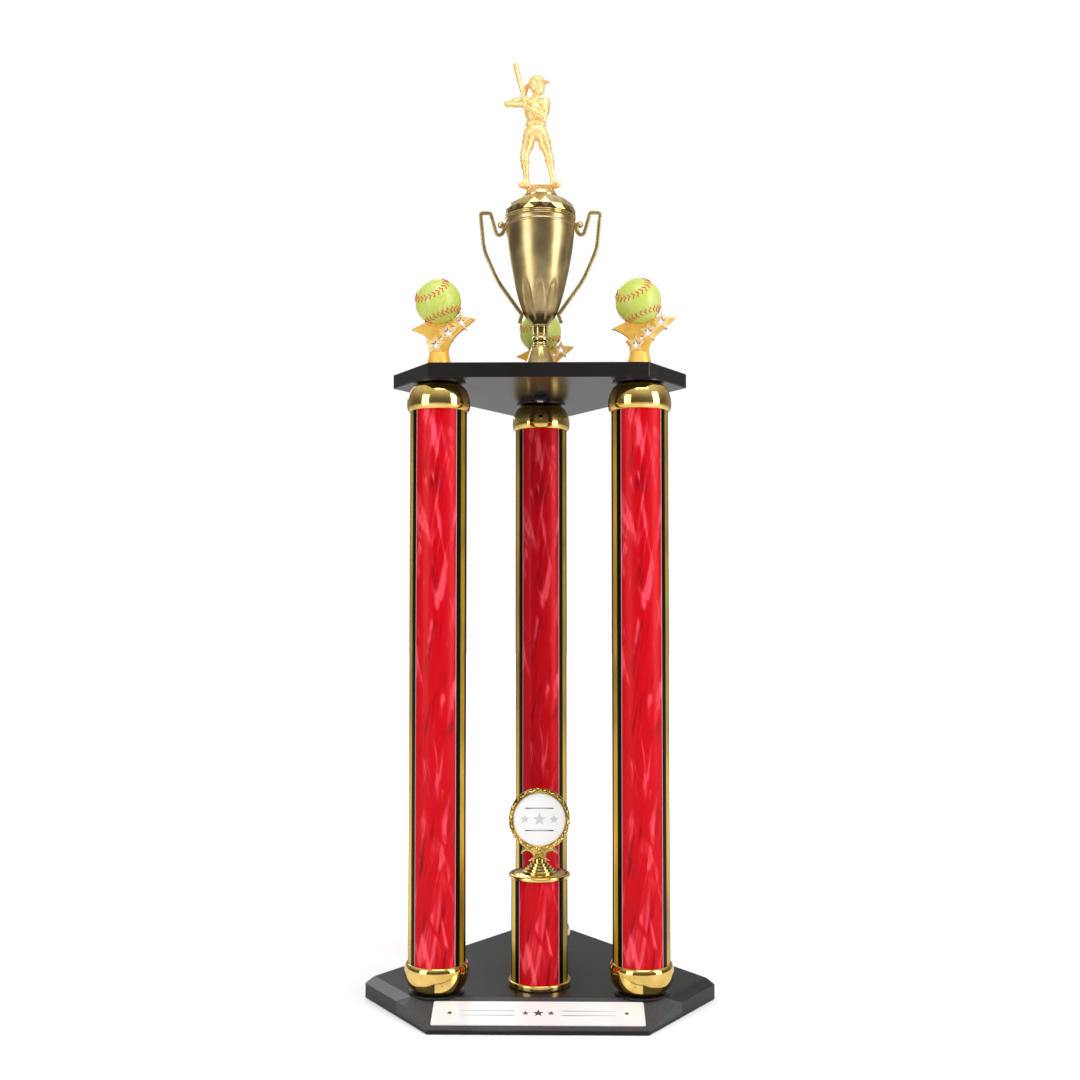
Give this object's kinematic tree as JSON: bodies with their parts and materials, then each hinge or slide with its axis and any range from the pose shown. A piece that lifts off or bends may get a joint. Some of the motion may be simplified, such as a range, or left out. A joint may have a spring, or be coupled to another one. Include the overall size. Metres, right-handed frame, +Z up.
{
  "type": "tower trophy",
  "caption": "Tall tower trophy: black boards joined by foil-wrapped posts, a lidded two-handled cup with a softball batter, ball risers and a wreath insert holder.",
  "frame": {"origin": "under the middle of the base board, on the surface that the trophy stands on", "axes": "+Z up; -Y is the front, with the name plate; +X to the right seen from the front"},
  "size_m": [0.3372, 0.298, 0.9346],
  "materials": {
    "black_board": "gloss black finish",
    "plate_metal": "white engraving plate",
    "tube_plastic": "plain tube",
    "film_print": "printed film, red with black and gold",
    "cap_gold": "bright gold metallised",
    "rod_steel": "threaded steel",
    "riser_gold": "orange gold metallised",
    "ball_yellow": "painted yellow-green with red seams",
    "collar_black": "black",
    "wreath_gold": "gold metallised",
    "insert_white": "white printed disc",
    "fastener_steel": "zinc plated",
    "cup_brass": "satin antique gold",
    "figure_gold": "pale gold metallised"
  },
  "bodies": {
    "frame_body": {"base_board": "black_board", "deck_board": "black_board", "name_plate": "plate_metal", "left_post_tube": "tube_plastic", "left_post_film": "film_print", "left_bottom_cap": "cap_gold", "left_top_cap": "cap_gold", "left_post_rod": "rod_steel", "right_post_tube": "tube_plastic", "right_post_film": "film_print", "right_bottom_cap": "cap_gold", "right_top_cap": "cap_gold", "right_post_rod": "rod_steel", "back_post_tube": "tube_plastic", "back_post_film": "film_print", "back_bottom_cap": "cap_gold", "back_top_cap": "cap_gold", "back_post_rod": "rod_steel", "post_collars": "collar_black", "column_rim": "cap_gold", "column_plate": "cap_gold", "column_tube": "tube_plastic", "column_film": "film_print", "column_rod": "rod_steel", "cup_rod": "rod_steel", "base_washers": "fastener_steel", "base_nuts": "fastener_steel", "clamp_washers": "fastener_steel", "clamp_nuts": "fastener_steel", "cup_washers": "fastener_steel", "cup_nuts": "fastener_steel", "cup_foot": "cup_brass", "cup_stem": "cup_brass", "cup_bowl": "cup_brass", "right_handle": "cup_brass", "left_handle": "cup_brass"},
    "left_riser_body": {"left_riser": "riser_gold", "left_ball": "ball_yellow"},
    "right_riser_body": {"right_riser": "riser_gold", "right_ball": "ball_yellow"},
    "back_riser_body": {"back_riser": "riser_gold", "back_ball": "ball_yellow"},
    "wreath_body": {"wreath_holder": "wreath_gold", "insert_disc": "insert_white"},
    "lid_body": {"cup_lid": "cup_brass", "figure_stud": "rod_steel", "lid_washers": "fastener_steel", "lid_nuts": "fastener_steel"},
    "figure_body": {"figure_base": "figure_gold", "batter": "figure_gold"}
  },
  "joints": [
    {"name": "left_riser_turn", "type": "hinge", "parent": "frame_body", "child": "left_riser_body", "pos_m": [-0.096, -0.081, 0.606], "axis": [0, 0, 1], "continuous": true},
    {"name": "right_riser_turn", "type": "hinge", "parent": "frame_body", "child": "right_riser_body", "pos_m": [0.096, -0.081, 0.606], "axis": [0, 0, 1], "continuous": true},
    {"name": "back_riser_turn", "type": "hinge", "parent": "frame_body", "child": "back_riser_body", "pos_m": [0, 0.059, 0.606], "axis": [0, 0, 1], "continuous": true},
    {"name": "wreath_turn", "type": "hinge", "parent": "frame_body", "child": "wreath_body", "pos_m": [0, -0.056, 0.1236], "axis": [0, 0, 1], "continuous": true},
    {"name": "lid_lift", "type": "slide", "parent": "frame_body", "child": "lid_body", "axis": [0, 0, 1], "range_m": [0, 0.06]},
    {"name": "figure_turn", "type": "hinge", "parent": "lid_body", "child": "figure_body", "pos_m": [0, -0.007, 0.7939], "axis": [0, 0, 1], "continuous": true}
  ]
}
